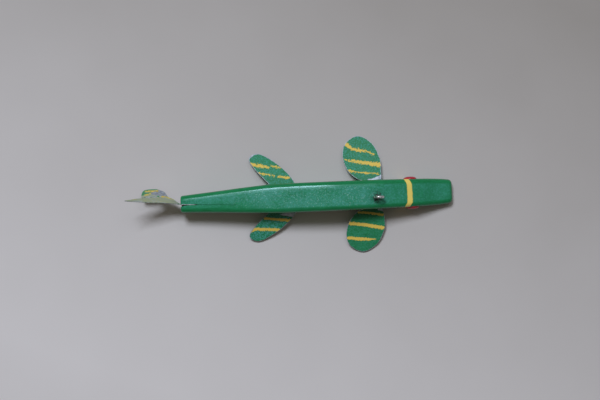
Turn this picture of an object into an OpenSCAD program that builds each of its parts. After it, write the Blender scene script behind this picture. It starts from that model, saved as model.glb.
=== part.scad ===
// A carved wooden fish decoy for ice fishing: a painted body with a forked sheet-metal tail, four
// sheet-metal side fins, brads, lead ballast, a screw eye as line tie and two tacks as eyes.
// Millimetres. +X is the snout, +Y the fish's left side, +Z up. The origin lies on the flat of the
// belly, straight under the line tie.

/* [Body] */
// Length of the wooden body, snout to tail end
body_len = 191; // [155:1:230]
// Greatest width of the body
body_w = 20.6; // [17:0.1:26]
// Greatest depth of the body, belly to back
body_h = 28; // [23:0.5:35]
// Distance from the line tie forward to the snout
nose_x = 53.6; // [44:0.1:64]
// Rounding of the long edges of the back
back_r = 3.6; // [2:0.1:5]
// Rounding of the long edges of the belly
belly_r = 3; // [1.5:0.1:4]
// Rounding of the snout
nose_r = 2.6; // [1:0.1:3]
// Rounding of the sawn tail end
tail_end_r = 1.2; // [0.5:0.1:2]
// How far the underside rises towards the tail end
tail_lift = 8; // [4:0.5:10]
// How far the chin rises towards the snout
chin_lift = 1.4; // [0:0.1:3]
// How far the tail end was carved off the centre line, towards the right side
tail_drift = 1.3; // [0:0.1:2]
// Wood sanded off the belly to make its flat
belly_sanding = 0.4; // [0.2:0.1:1]

/* [Mouth] */
// Length of the mouth cut along each side of the snout
mouth_len = 15; // [8:0.5:20]
// Depth of the mouth cut
mouth_depth = 0.9; // [0.4:0.1:1.5]
// Height of the mouth cut
mouth_gape = 0.9; // [0.4:0.1:1.5]
// Height of the mouth cut above the belly
mouth_z = 4.4; // [3.5:0.1:6]

/* [Sheet metal] */
// Thickness of the fin and tail sheet
sheet = 0.45; // [0.3:0.05:0.7]
// Play between a sheet and each wall of its saw kerf
kerf_play = 0.05; // [0.02:0.01:0.15]
// Depth of a side fin's tab in the body
tab_depth = 6.5; // [4:0.5:7]

/* [Pectoral fins] */
// Distance from the line tie forward to the front edge of the pectoral fins
pectoral_front = 5.2; // [2:0.1:10]
// Height of the pectoral fins at the body's side
pectoral_root_z = 7.9; // [7.6:0.1:10]
// Droop of the pectoral fins below level
pectoral_droop = 12.5; // [5:0.5:13]

/* [Pelvic fins] */
// Place of the pelvic fins' front edge, as a share of the body's length from the tail end
pelvic_share = 0.42; // [0.4:0.01:0.46]
// Height of the pelvic fins at the body's side
pelvic_root_z = 9.6; // [9.2:0.1:12]
// Droop of the pelvic fins below level
pelvic_droop = 21.5; // [10:0.5:22]
// Extra sweep of the right pelvic fin, which was set a little further back
pelvic_right_sweep = 5.5; // [0:0.5:8]

/* [Tail] */
// Length of the tail's tab in the kerf
tail_tab_len = 36; // [26:1:44]
// How far the saw kerf runs past the end of the tab
kerf_run_out = 5; // [1:0.5:8]
// Height of the tail's tab
tail_tab_h = 10.4; // [9:0.1:10.6]
// Angle of the kerf off the body's centre line
kerf_angle = 2.8; // [0:0.1:4]
// Place of the kerf's mouth, from the centre line towards the right side
kerf_mouth_y = 1.4; // [0:0.1:2]
// Length of the chipped flare at the kerf's mouth
flare_len = 6.5; // [3:0.5:10]
// Width of that flare
flare_w = 1.7; // [0.5:0.1:2.5]
// Lean of the upper lobe off upright
upper_lean = 27; // [0:1:30]
// Lean of the lower lobe off upright
lower_lean = 33; // [0:1:50]

/* [Brads] */
// Diameter of a brad
brad_d = 1.2; // [0.9:0.1:1.6]
// Diameter of a brad's head
brad_head_d = 2.6; // [2:0.1:3.2]
// Thickness of a brad's head
brad_head_h = 0.5; // [0.3:0.1:0.8]
// Length of a side fin's brad
fin_brad_len = 15; // [13:0.5:18]
// Length of a tail brad
tail_brad_len = 11; // [9:0.5:12]
// Distance of a fin's brads from the body's side
brad_inset = 4.6; // [3.5:0.1:5]
// Distance between the two brads of a fin
brad_pitch = 8; // [6:0.5:10]
// Distance between the two tail brads
tail_brad_pitch = 19; // [12:0.5:22]
// Depth to which a tail brad or a tack is driven into the wood
driven_depth = 0.3; // [0.2:0.1:0.5]

/* [Line tie] */
// Outer diameter of the screw eye's ring
ring_d = 8; // [7:0.1:10]
// Diameter of its wire
wire_d = 1.7; // [1.4:0.1:2]
// Depth to which the line has worn the inside of the ring flat
ring_wear = 0.1; // [0.05:0.01:0.15]
// Height of the ring's centre above the back
ring_rise = 5.4; // [5:0.1:7]
// Place of the line tie off the centre line, towards the right side
line_tie_side = 1.9; // [0:0.1:2.5]
// Length of the threaded shank in the wood
shank_len = 14; // [10:0.5:15]
// Pitch of the thread
thread_pitch = 1.3; // [1:0.1:1.6]
// Height of the thread's crest over its core
thread_h = 0.25; // [0.15:0.05:0.35]

/* [Eye tacks] */
// Diameter of a tack's head
tack_head_d = 9.2; // [8:0.1:10]
// Height of its dome
tack_dome_h = 1.9; // [1.4:0.1:2.4]
// Diameter of its shank
tack_shank_d = 1.8; // [1.4:0.1:2.2]
// Length of its shank
tack_shank_len = 8; // [6:0.5:8]
// Distance from the snout back to the eyes
eye_back = 29.4; // [25:0.1:33]
// How much further forward the right eye was set than the left one
eye_stagger = 1.2; // [0.9:0.1:2]
// Height of the eyes above the middle of the head
eye_rise = 1.6; // [0:0.1:2]

/* [Ballast] */
// Width of the rear ballast pocket
rear_pocket_w = 10; // [7:0.5:10]
// Depth of the rear ballast pocket
rear_pocket_depth = 12; // [8:0.5:14]
// Wood left between the rear ballast and the fins' kerfs
pocket_wall = 5; // [4:0.5:6]
// Length of the front ballast pocket
front_pocket_len = 18; // [13:0.5:20]
// Width of the front ballast pocket
front_pocket_w = 8; // [6:0.5:9]
// Depth of the front ballast pocket
front_pocket_depth = 6.5; // [4:0.5:6.5]

/* [Hidden] */

LEFT = 1;
RIGHT = -1;
FRONT = 1;
REAR = -1;
round_fn = 48;
past = 1; // how far a cutter runs past the face it opens
stations = 36; // sections along the body
corner_steps = 5; // steps round each corner of a section
end_steps = 4; // steps round the rounding of each end
tail_x = nose_x - body_len;
tail_kerf_len = tail_tab_len + kerf_run_out;
pelvic_front = tail_x + pelvic_share * body_len;

// Shape of the body: [share of the length from the tail end, share of the size there]
back_line = [[0, 0.695], [0.14, 0.78], [0.29, 0.885], [0.44, 0.955], [0.58, 1], [0.7, 0.92],
    [0.8, 0.745], [0.88, 0.6], [0.94, 0.41], [1, 0.3]];
side_line = [[0, 0.575], [0.1, 0.69], [0.22, 0.85], [0.35, 0.98], [0.48, 1], [0.7, 0.985],
    [0.9, 0.935], [0.96, 0.88], [1, 0.8]];
rise_start = 0.29; // share of the length where the underside leaves the flat, near the tail
chin_start = 0.9; // share of the length where the chin leaves the flat
drift_end = 0.35; // share of the length where the tail's drift ends

// Outlines: [distance behind the front edge, distance out from the body's side]
pectoral_outline = [[1.4, 0], [1.3, 6], [1.5, 15], [6.3, 26.3], [15.8, 32.6], [24.8, 28.4], [27.9, 19.8],
    [25.4, 8.6], [19.4, 2], [15, 0]];
pelvic_outline = [[0, 0], [4.2, 7], [13.2, 16.2], [23.6, 23.2], [30, 22.6], [31.8, 18.4],
    [26.9, 10.4], [18.2, 0]];

// Edges of the tail: [distance behind the body, height in the sheet], from the lower tip to the
// upper. The sheet is ruled from the front edge, whose middle stretch lies in the tab, to the rear edge.
tail_tip = [36.9, 21.6];
tail_front_low = [[28.1, -7.5], [27.2, -11.6], [23.5, -12.7], [16.1, -11.9], [12.6, -10.9],
    [10.6, -7.8], [8.6, -5.4], [0.5, -tail_tab_h / 2]];
tail_front_high = [[0.5, tail_tab_h / 2], [9, 8.4], [21, 14.8], tail_tip];
tail_rear_low = [[28.3, -5], [27.6, -2.4], [25, -1.2], [22.5, -0.7], [20, -0.5], [18, -0.3],
    [16.2, -0.1], [15.2, 0.2]];
tail_rear_high = [[14.8, 2.2], [20, 6.4], [29, 13.7], tail_tip - [0.4, 0.7]];
tail_seam = 0.03; // how much thinner than the tab the blade is on each face
tail_insert = 1.5; // how far the blade runs into the tab
tail_drift_slope = 0.11; // how far the tail's top edge runs to the left for each millimetre back
lean_start = 7; // distance behind the body over which the lean grows
lean_upper_end = 3.5; // height in the sheet where the upper lobe's lean ends
lean_lower_end = -2.5; // height in the sheet where the lower lobe's lean starts
lean_reach = 17.5; // distance behind the body past which the lower lobe bends back to the right
lean_return = 0.8; // how fast it bends back
tail_ribs = 3; // ribs between two points of an edge
tail_strips = 5; // strips between the front edge and the rear edge

// ---- curves ----

// Segment of the point list p that position t falls in
function segment_of(t, p, i = 0) = i < len(p) - 2 && t > p[i + 1][0] ? segment_of(t, p, i + 1) : i;

// Slope of the list at point i, from its neighbours
function slope_of(p, i) = let (a = p[max(i - 1, 0)], b = p[min(i + 1, len(p) - 1)])
    (b[1] - a[1]) / (b[0] - a[0]);

// Smooth value between two values with two slopes, at share s of the way
function between(a, b, slope_a, slope_b, s) =
    a * (1 + 2 * s) * pow(1 - s, 2) + slope_a * s * pow(1 - s, 2)
    + b * (3 - 2 * s) * s * s - slope_b * (1 - s) * s * s;

// Smooth value of the list p at position t
function curve(t, p) = let (i = segment_of(t, p), step = p[i + 1][0] - p[i][0])
    between(p[i][1], p[i + 1][1], step * slope_of(p, i), step * slope_of(p, i + 1), (t - p[i][0]) / step);

// Point of a smooth open path through the points p, at share s of segment i
function path_point(p, i, s) =
    let (before = p[max(i - 1, 0)], after = p[min(i + 2, len(p) - 1)])
    between(p[i], p[i + 1], (p[i + 1] - before) / 2, (after - p[i]) / 2, s);

// The whole path, with n steps to a segment
function path(p, n) = [for (i = [0:len(p) - 2], k = [0:n - 1]) path_point(p, i, k / n), p[len(p) - 1]];

// ---- body ----

function share_at(x) = min(max((x - tail_x) / body_len, 0), 1);
function back_z(x) = body_h * curve(share_at(x), back_line);
function half_w(x) = body_w / 2 * curve(share_at(x), side_line);
function keel_z(x) = let (s = share_at(x))
    s < rise_start ? tail_lift * pow(1 - s / rise_start, 1.5)
    : s > chin_start ? chin_lift * pow((s - chin_start) / (1 - chin_start), 1.5) : 0;
function middle_y(x) = -tail_drift * pow(max(1 - share_at(x) / drift_end, 0), 1.5);
function side_y(x, side) = middle_y(x) + side * half_w(x);
function middle_z(x) = (back_z(x) + keel_z(x)) / 2;

// One rounded section of the body at x, drawn in by inset
function section(x, inset) =
    let (w = half_w(x) - inset, top = back_z(x) - inset, low = keel_z(x) - belly_sanding + inset)
    [for (corner = [0:3], k = [0:corner_steps])
        let (r = (corner < 2 ? back_r : belly_r) - inset, a = 90 * (corner + k / corner_steps),
            cy = (corner == 0 || corner == 3 ? 1 : -1) * (w - r), cz = corner < 2 ? top - r : low + r)
        [x, middle_y(x) + cy + r * cos(a), cz + r * sin(a)]];

// Sections of a rounded end: [x, inset], from the end face inwards
function end_sections(x, r, inwards) = [for (k = [0:end_steps])
    let (a = 90 * k / end_steps) [x + inwards * r * (1 - cos(a)), r * (1 - sin(a))]];

function all_sections() = let (first = tail_x + tail_end_r, last = nose_x - nose_r)
    concat(end_sections(tail_x, tail_end_r, 1),
        [for (k = [1:stations - 1]) [first + (last - first) * k / stations, 0]],
        [for (k = [end_steps:-1:0]) end_sections(nose_x, nose_r, -1)[k]]);

// A solid through rings of points that all have the same number of points. In a sheet, the second
// half of each ring runs back along the first, and both faces are split along the same diagonals.
module loft(rings, is_sheet = false) {
    n = len(rings[0]);
    last = (len(rings) - 1) * n;
    walls = [for (i = [0:len(rings) - 2], j = [0:n - 1])
        let (a = i * n + j, b = i * n + (j + 1) % n)
        each is_sheet && j >= n / 2 ? [[a, b, a + n], [b, b + n, a + n]]
            : [[a, b, b + n], [a, b + n, a + n]]];
    strips = [for (j = [0:n / 2 - 2], face = [0, last])
        let (ends = [j + face, j + 1 + face, n - 2 - j + face, n - 1 - j + face])
        each face == 0 ? [[ends[2], ends[1], ends[0]], [ends[3], ends[2], ends[0]]]
            : [[ends[0], ends[1], ends[2]], [ends[0], ends[2], ends[3]]]];
    caps = is_sheet ? strips : [[for (j = [n - 1:-1:0]) j], [for (j = [0:n - 1]) last + j]];
    polyhedron(points = [for (ring = rings) each ring], faces = concat(walls, caps), convexity = 6);
}

module carved_blank() {
    difference() {
        loft([for (s = all_sections()) section(s[0], s[1])]);
        translate([tail_x - past, -body_w, -body_h])
            cube([body_len + 2 * past, 2 * body_w, body_h]);
    }
}

// Groove round the snout, as deep as mouth_depth
module mouth_cut() {
    start_x = nose_x - mouth_len;
    steps = 8;
    flank = [for (k = [0:steps]) let (x = start_x + (mouth_len - nose_r) * k / steps)
        [x, half_w(x) - mouth_depth]];
    front = [nose_x - mouth_depth, half_w(nose_x) - nose_r - mouth_depth];
    half = concat(flank, [front]);
    translate([0, 0, mouth_z - mouth_gape / 2])
        linear_extrude(mouth_gape) difference() {
            translate([start_x, -body_w]) square([mouth_len + past, 2 * body_w]);
            polygon(concat([[start_x - past, half[0][1]]], half,
                [for (i = [len(half) - 1:-1:0]) [half[i][0], -half[i][1]]],
                [[start_x - past, -half[0][1]]]));
        }
}

module body() {
    color("seagreen") difference() {
        carved_blank();
        mouth_cut();
        tail_kerf();
        for (side = [LEFT, RIGHT]) {
            pectoral_kerf(side);
            pelvic_kerf(side);
            tack(side);
            tack_seat(side);
            for (end = [FRONT, REAR]) {
                pectoral_brad(side, end);
                pelvic_brad(side, end);
            }
        }
        for (end = [FRONT, REAR]) tail_brad(end, past);
        line_tie_shank();
        ballast_front();
        ballast_rear();
    }
}

// ---- side fins ----

// A side fin lies in its own plane: x forward, y out from the body's side, and its sheet is
// centred on that plane
module fin_place(front, root_z, droop, side) {
    mid = front - brad_pitch;
    translate([front, side_y(mid, side), root_z])
        mirror([0, side == RIGHT ? 1 : 0, 0]) rotate([-droop, 0, 0]) children();
}

// Tab from the outline's first point to its last, running tab_depth into the body
module fin_tab(outline, play) {
    front = outline[0][0];
    rear = outline[len(outline) - 1][0];
    translate([-rear - play, -tab_depth - play]) square([rear - front + 2 * play, tab_depth + 2 * play]);
}

module fin_sheet(outline, sweep) {
    translate([0, 0, -sheet / 2]) linear_extrude(sheet) union() {
        rotate(sweep) polygon([for (p = path(outline, 6)) [-p[0], p[1]],
            [-outline[len(outline) - 1][0], -past], [-outline[0][0], -past]]);
        fin_tab(outline, 0);
    }
}

// Saw kerf for a tab, open at the body's side
module fin_kerf(outline) {
    translate([0, 0, -sheet / 2 - kerf_play]) linear_extrude(sheet + 2 * kerf_play) union() {
        fin_tab(outline, kerf_play);
        translate([-outline[len(outline) - 1][0] - past, -past])
            square([outline[len(outline) - 1][0] + 2 * past, 4 * past]);
    }
}

module pectoral_kerf(side) {
    fin_place(pectoral_front, pectoral_root_z, pectoral_droop, side) fin_kerf(pectoral_outline);
}

module pelvic_kerf(side) {
    fin_place(pelvic_front, pelvic_root_z, pelvic_droop, side) fin_kerf(pelvic_outline);
}

module pectoral_fin(side) {
    color("mediumseagreen") difference() {
        fin_place(pectoral_front, pectoral_root_z, pectoral_droop, side)
            fin_sheet(pectoral_outline, 0);
        for (end = [FRONT, REAR]) pectoral_brad(side, end);
    }
}

module pelvic_fin(side) {
    color("mediumseagreen") difference() {
        fin_place(pelvic_front, pelvic_root_z, pelvic_droop, side)
            fin_sheet(pelvic_outline, side == RIGHT ? pelvic_right_sweep : 0);
        for (end = [FRONT, REAR]) pelvic_brad(side, end);
    }
}

// ---- tail ----

// Left-right place of the tail's sheet, u behind the body and v up the sheet
function tail_y(u, v) = u <= 0
    ? -kerf_mouth_y + u * tan(kerf_angle)
    : let (grow = min(u / lean_start, 1), ease = grow * grow * (3 - 2 * grow),
        reach = v > lean_upper_end ? u : min(u, lean_reach - (u - lean_reach) * lean_return),
        top = tail_tab_h / 2 + reach * (tail_tip[1] - tail_tab_h / 2) / tail_tip[0])
    -kerf_mouth_y + u * tail_drift_slope
        + ease * sin(upper_lean) * (top - max(v, lean_upper_end))
        + ease * sin(lower_lean) * (lean_lower_end - min(v, lean_lower_end));

// Height of the tail's sheet
function tail_z(u, v) =
    let (grow = min(max(u / lean_start, 0), 1), ease = grow * grow * (3 - 2 * grow))
    middle_z(tail_x) + v
        - ease * (1 - cos(upper_lean)) * (max(v, lean_upper_end) - lean_upper_end)
        + ease * (1 - cos(lower_lean)) * (lean_lower_end - min(v, lean_lower_end));

module tail_blade() {
    neck = tail_tab_h / 2 - tail_seam;
    front = concat(path(tail_front_low, tail_ribs), [[-tail_insert, -neck], [-tail_insert, neck]],
        path(tail_front_high, tail_ribs));
    rear = concat(path(tail_rear_low, tail_ribs), [[15, 0.8], [14.8, 1.5]],
        path(tail_rear_high, tail_ribs));
    half_y = sheet / cos(kerf_angle) / 2 - tail_seam;
    function on_sheet(p, face) = [tail_x - p[0], tail_y(p[0], p[1]) + face * half_y, tail_z(p[0], p[1])];
    loft([for (i = [0:len(front) - 1])
        let (line = [for (k = [0:tail_strips]) front[i] + (rear[i] - front[i]) * k / tail_strips])
        concat([for (k = [0:tail_strips]) on_sheet(line[k], RIGHT)],
            [for (k = [tail_strips:-1:0]) on_sheet(line[k], LEFT)])], true);
}

// The frame of the kerf: x forward from its mouth, y to the left, z up from the tab's middle
module kerf_place() {
    translate([tail_x, -kerf_mouth_y, middle_z(tail_x)]) rotate(-kerf_angle) children();
}

module tail_fin() {
    color("darkseagreen") difference() {
        union() {
            tail_blade();
            kerf_place() translate([0, -sheet / 2, -tail_tab_h / 2])
                cube([tail_tab_len, sheet, tail_tab_h]);
        }
        for (end = [FRONT, REAR]) tail_brad(end, 0);
    }
}

// Saw kerf through the whole depth of the tail, with its chipped mouth on the right side
module tail_kerf() {
    half = sheet / 2 + kerf_play;
    kerf_place() translate([0, 0, -body_h]) linear_extrude(2 * body_h)
        polygon([[-2 * past, half], [tail_kerf_len, half], [tail_kerf_len, -half], [flare_len, -half],
            [0, -half - flare_w], [-2 * past, -half - flare_w]]);
}

// ---- brads ----

// A brad that points up, its head's top face at z = 0, and head_room of empty space under the head
module brad(length, head_room) {
    point = brad_d * 1.2;
    $fn = round_fn;
    translate([0, 0, -head_room]) cylinder(h = brad_head_h + head_room, d = brad_head_d);
    cylinder(h = length - point, d = brad_d);
    translate([0, 0, length - point]) cylinder(h = point, d1 = brad_d, d2 = 0);
}

// A side fin's brad stands upright in the belly, its head flush with the flat
module fin_brad(outline, front, end, side) {
    mid = front - (outline[0][0] + outline[len(outline) - 1][0]) / 2;
    y = side_y(front - brad_pitch, side) - side * brad_inset;
    translate([mid + end * brad_pitch / 2, y, 0]) brad(fin_brad_len, 0);
}

module pectoral_brad(side, end) {
    color("silver") fin_brad(pectoral_outline, pectoral_front, end, side);
}

module pelvic_brad(side, end) {
    color("silver") fin_brad(pelvic_outline, pelvic_front, end, side);
}

// A tail brad runs in from the left side, across the kerf and through the tab
module tail_brad(end, head_room) {
    x = tail_x + tail_tab_len / 2 + end * tail_brad_pitch / 2;
    color("silver") translate([x, side_y(x, LEFT) - driven_depth, middle_z(tail_x)])
        rotate([90, 0, 0]) brad(tail_brad_len, head_room);
}

// ---- line tie ----

module line_tie_shank() {
    point = 2 * wire_d;
    core = wire_d / 2 - thread_h;
    turns = floor((shank_len - point) / thread_pitch);
    start_z = back_z(0);
    translate([0, -line_tie_side, start_z]) rotate_extrude($fn = round_fn)
        polygon(concat([[0, ring_rise - ring_d / 2 + wire_d / 2], [wire_d / 2, ring_rise - ring_d / 2 + wire_d / 2]],
            [for (k = [0:turns - 1]) each [[wire_d / 2, -thread_pitch * (k + 0.5)],
                [core, -thread_pitch * (k + 1)]]],
            [[core, point - shank_len], [0, -shank_len]]));
}

// The ring is open where its wire's end comes back to the shank
module line_tie() {
    gap_angle = 18;
    middle_r = (ring_d - wire_d) / 2;
    bore_r = middle_r - wire_d / 2 + ring_wear;
    color("silver") {
        line_tie_shank();
        translate([0, -line_tie_side, back_z(0) + ring_rise]) rotate([90, 0, 0])
            rotate(-90) rotate_extrude(angle = 360 - gap_angle, $fn = 2 * round_fn)
                difference() {
                    translate([middle_r, 0]) circle(d = wire_d, $fn = round_fn);
                    translate([0, -wire_d]) square([bore_r, 2 * wire_d]);
                }
    }
}

// ---- eyes ----

// A tack's own frame: z points out of the wood, z = 0 is the head's underside
module tack_place(side) {
    x = nose_x - eye_back - side * eye_stagger / 2;
    translate([x, side_y(x, side) - side * driven_depth, middle_z(x) + eye_rise])
        rotate([side * -90, 0, 0]) children();
}

module tack(side) {
    dome_r = (pow(tack_head_d / 2, 2) + pow(tack_dome_h, 2)) / (2 * tack_dome_h);
    point = tack_shank_len / 2;
    color("crimson") tack_place(side) {
        intersection() {
            translate([0, 0, tack_dome_h - dome_r]) sphere(r = dome_r, $fn = 2 * round_fn);
            cylinder(h = tack_dome_h + past, d = tack_head_d, $fn = 2 * round_fn);
        }
        translate([0, 0, point - tack_shank_len])
            cylinder(h = tack_shank_len - point + tack_dome_h / 2, d = tack_shank_d, $fn = round_fn);
        translate([0, 0, -tack_shank_len])
            cylinder(h = point, d1 = 0, d2 = tack_shank_d, $fn = round_fn);
    }
}

// Wood pressed flat under a tack's head
module tack_seat(side) {
    tack_place(side) cylinder(h = tack_dome_h, d = tack_head_d, $fn = 2 * round_fn);
}

// ---- ballast ----

// A pocket with round ends, from x_rear to x_front, open at the belly
module pocket(x_rear, x_front, w, depth) {
    translate([x_rear + w / 2, -w / 2, 0]) cube([x_front - x_rear - w, w, depth]);
    for (x = [x_rear + w / 2, x_front - w / 2]) translate([x, 0, 0])
        cylinder(h = depth, d = w, $fn = round_fn);
}

module ballast_front() {
    x = nose_x - eye_back;
    color("slategray")
        pocket(x - front_pocket_len / 2, x + front_pocket_len / 2, front_pocket_w, front_pocket_depth);
}

module ballast_rear() {
    pectoral_rear = pectoral_front - pectoral_outline[len(pectoral_outline) - 1][0];
    color("slategray")
        pocket(pelvic_front + pocket_wall, pectoral_rear - pocket_wall, rear_pocket_w, rear_pocket_depth);
}

body();
ballast_front();
ballast_rear();
line_tie();
tack(LEFT);  // eye_tack_left
tack(RIGHT);  // eye_tack_right
pectoral_fin(LEFT);  // pectoral_fin_left
pectoral_fin(RIGHT);  // pectoral_fin_right
pelvic_fin(LEFT);  // pelvic_fin_left
pelvic_fin(RIGHT);  // pelvic_fin_right
tail_fin();
tail_brad(FRONT, 0);  // tail_brad_front
tail_brad(REAR, 0);  // tail_brad_rear
pectoral_brad(LEFT, FRONT);  // pectoral_brad_left_front
pectoral_brad(LEFT, REAR);  // pectoral_brad_left_rear
pectoral_brad(RIGHT, FRONT);  // pectoral_brad_right_front
pectoral_brad(RIGHT, REAR);  // pectoral_brad_right_rear
pelvic_brad(LEFT, FRONT);  // pelvic_brad_left_front
pelvic_brad(LEFT, REAR);  // pelvic_brad_left_rear
pelvic_brad(RIGHT, FRONT);  // pelvic_brad_right_front
pelvic_brad(RIGHT, REAR);  // pelvic_brad_right_rear
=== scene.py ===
# A painted wooden fish decoy: carved body, tin fins and tail, tack eyes, screw eye, brads and lead.
# +X is the snout, +Y the fish's left side, +Z up. Pieces are built in millimetres and kept in metres.
import bpy
import bmesh
import math
from mathutils import Matrix, Vector, noise


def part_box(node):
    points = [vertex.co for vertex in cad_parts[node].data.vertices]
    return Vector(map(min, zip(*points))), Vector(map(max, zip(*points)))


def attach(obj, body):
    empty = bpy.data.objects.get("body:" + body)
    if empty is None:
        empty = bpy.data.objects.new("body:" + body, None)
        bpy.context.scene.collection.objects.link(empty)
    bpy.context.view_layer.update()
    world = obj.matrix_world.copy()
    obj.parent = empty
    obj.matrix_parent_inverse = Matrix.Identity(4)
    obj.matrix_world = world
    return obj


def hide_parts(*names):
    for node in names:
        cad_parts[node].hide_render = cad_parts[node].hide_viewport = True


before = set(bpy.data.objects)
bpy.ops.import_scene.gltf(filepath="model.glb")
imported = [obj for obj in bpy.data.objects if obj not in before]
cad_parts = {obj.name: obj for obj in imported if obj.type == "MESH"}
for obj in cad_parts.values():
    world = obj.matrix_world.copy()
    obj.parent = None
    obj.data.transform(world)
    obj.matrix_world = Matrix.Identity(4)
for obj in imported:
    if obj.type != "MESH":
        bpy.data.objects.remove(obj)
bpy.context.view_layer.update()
mm = 0.001
sides = {"left": 1, "right": -1}
bodyLow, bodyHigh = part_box("body")
tailX, noseX = bodyLow.x / mm, bodyHigh.x / mm
print("frame loaded")

bpy.context.scene.view_settings.view_transform = "Standard"


# small helpers

def linearColour(hexColour):  # sRGB hex to linear RGBA
    parts = [int(hexColour[i:i + 2], 16) / 255 for i in (1, 3, 5)]
    return [c / 12.92 if c <= 0.04045 else ((c + 0.055) / 1.055) ** 2.4 for c in parts] + [1]


def openSocket(sockets, name):  # by number, or by name among the sockets in use
    return sockets[name] if isinstance(name, int) else next(
        s for s in sockets if s.enabled and s.name == name)


def addNode(tree, kind, inputs=None, **settings):  # an input takes a value, a socket or a node
    node = tree.nodes.new("ShaderNode" + kind)
    for name, value in settings.items():
        setattr(node, name, value)
    for name, value in (inputs or {}).items():
        if isinstance(value, bpy.types.Node):
            value = next(s for s in value.outputs if s.enabled)
        if isinstance(value, bpy.types.NodeSocket):
            tree.links.new(value, openSocket(node.inputs, name))
        else:
            openSocket(node.inputs, name).default_value = value
    return node


def newMaterial(name):  # with its node tree, and the piece's own coordinates in metres
    material = bpy.data.materials.new(name)
    material.use_nodes = True
    tree = material.node_tree
    tree.nodes.clear()
    return material, tree, addNode(tree, "TexCoord").outputs["Object"]


def speckle(tree, coords, size, detail, rough=0.5, stretch=None):  # noise with patches of a size in mm
    if stretch:
        coords = addNode(tree, "Mapping", {"Vector": coords, "Scale": stretch})
    return addNode(tree, "TexNoise", {"Vector": coords, "Scale": 1 / (size * mm), "Detail": detail,
                                      "Roughness": rough})


def fieldOf(tree, name):  # a number that the mesh holds for each vertex
    return addNode(tree, "Attribute", attribute_name=name).outputs["Fac"]


def ramp(tree, value, low, high, toLow=0, toHigh=1):
    return addNode(tree, "MapRange", {"Value": value, "From Min": low, "From Max": high,
                                      "To Min": toLow, "To Max": toHigh})


def times(tree, a, b):
    return addNode(tree, "Math", {0: a, 1: b}, operation="MULTIPLY")


def timesPlus(tree, a, b, c):
    return addNode(tree, "Math", {0: a, 1: b, 2: c}, operation="MULTIPLY_ADD")


def tornEdge(tree, noiseNode, amount, name, middle=0.5):  # a field with its edge torn by noise
    swing = addNode(tree, "Math", {0: noiseNode, 1: middle}, operation="SUBTRACT")
    return timesPlus(tree, swing, amount, fieldOf(tree, name))


def blend(tree, factor, a, b):  # mix of two colours, each a hex colour or a node
    a, b = [linearColour(c) if isinstance(c, str) else c for c in (a, b)]
    return addNode(tree, "Mix", {"Factor": factor, "A": a, "B": b}, data_type="RGBA")


def bumpOf(tree, height, strength, depth, under=None):  # depth in mm; under is a bump below this one
    inputs = {"Height": height, "Strength": strength, "Distance": depth * mm}
    return addNode(tree, "Bump", {**inputs, "Normal": under} if under else inputs)


def setShader(tree, inputs):
    addNode(tree, "OutputMaterial", {"Surface": addNode(tree, "BsdfPrincipled", inputs)})


def smoothStep(low, high, value):
    t = min(max((value - low) / (high - low), 0), 1)
    return t * t * (3 - 2 * t)


def curveAt(t, points):  # smooth value at t of a list of (place, value)
    i = 0
    while i < len(points) - 2 and t > points[i + 1][0]:
        i += 1

    def slope(k):
        a, b = points[max(k - 1, 0)], points[min(k + 1, len(points) - 1)]
        return (b[1] - a[1]) / (b[0] - a[0])
    step = points[i + 1][0] - points[i][0]
    s = (t - points[i][0]) / step
    return (points[i][1] * (1 + 2 * s) * (1 - s) ** 2 + step * slope(i) * s * (1 - s) ** 2
            + points[i + 1][1] * (3 - 2 * s) * s * s - step * slope(i + 1) * (1 - s) * s * s)


def smoothPath(points, steps):  # smooth open path through flat points
    path = []
    for i in range(len(points) - 1):
        before, a = Vector(points[max(i - 1, 0)]), Vector(points[i])
        b, after = Vector(points[i + 1]), Vector(points[min(i + 2, len(points) - 1)])
        for k in range(steps):
            s = k / steps
            path.append(a * (1 + 2 * s) * (1 - s) ** 2 + (b - before) / 2 * s * (1 - s) ** 2
                        + b * (3 - 2 * s) * s * s - (after - a) / 2 * (1 - s) * s * s)
    return path + [Vector(points[-1])]


def grainAt(place, size, seed=0):  # smooth noise from -1 to 1; size is its grain in mm
    return noise.noise(Vector(place) / size + Vector((seed * 7.3, seed * 3.1, seed * 1.7)))


def everything(bm):
    return bm.verts[:] + bm.edges[:] + bm.faces[:]


def cutAt(bm, place, direction):
    bmesh.ops.bisect_plane(bm, geom=everything(bm), dist=1e-4, plane_co=place, plane_no=direction)


def spread(low, high, step):  # evenly spaced places between low and high
    count = max(round((high - low) / step), 1)
    return [low + (high - low) * k / count for k in range(1, count)]


def cutGrid(bm, low, high, cell):  # across x, then across y
    for x in spread(low[0], high[0], cell):
        cutAt(bm, (x, 0, 0), (1, 0, 0))
    for y in spread(low[1], high[1], cell):
        cutAt(bm, (0, y, 0), (0, 1, 0))


def shift(bm, offset):
    bmesh.ops.translate(bm, vec=offset, verts=bm.verts)


def flatFace(bm, points):  # one face through flat points, at z = 0
    return bmesh.ops.contextual_create(bm, geom=[bm.verts.new((p[0], p[1], 0)) for p in points])["faces"]


def raised(bm, faces, height):  # a solid between the faces and the same faces moved up
    moved = bmesh.ops.extrude_face_region(bm, geom=faces, use_keep_orig=True)["geom"]
    bmesh.ops.translate(bm, vec=(0, 0, height), verts=[g for g in moved if isinstance(g, bmesh.types.BMVert)])


def addObject(name, data):
    made = bpy.data.objects.new(name, data)
    bpy.context.scene.collection.objects.link(made)
    return made


def smoothFaces(mesh, sharpAngle):
    mesh.shade_smooth()
    mesh.set_sharp_from_angle(angle=math.radians(sharpAngle))


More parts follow.
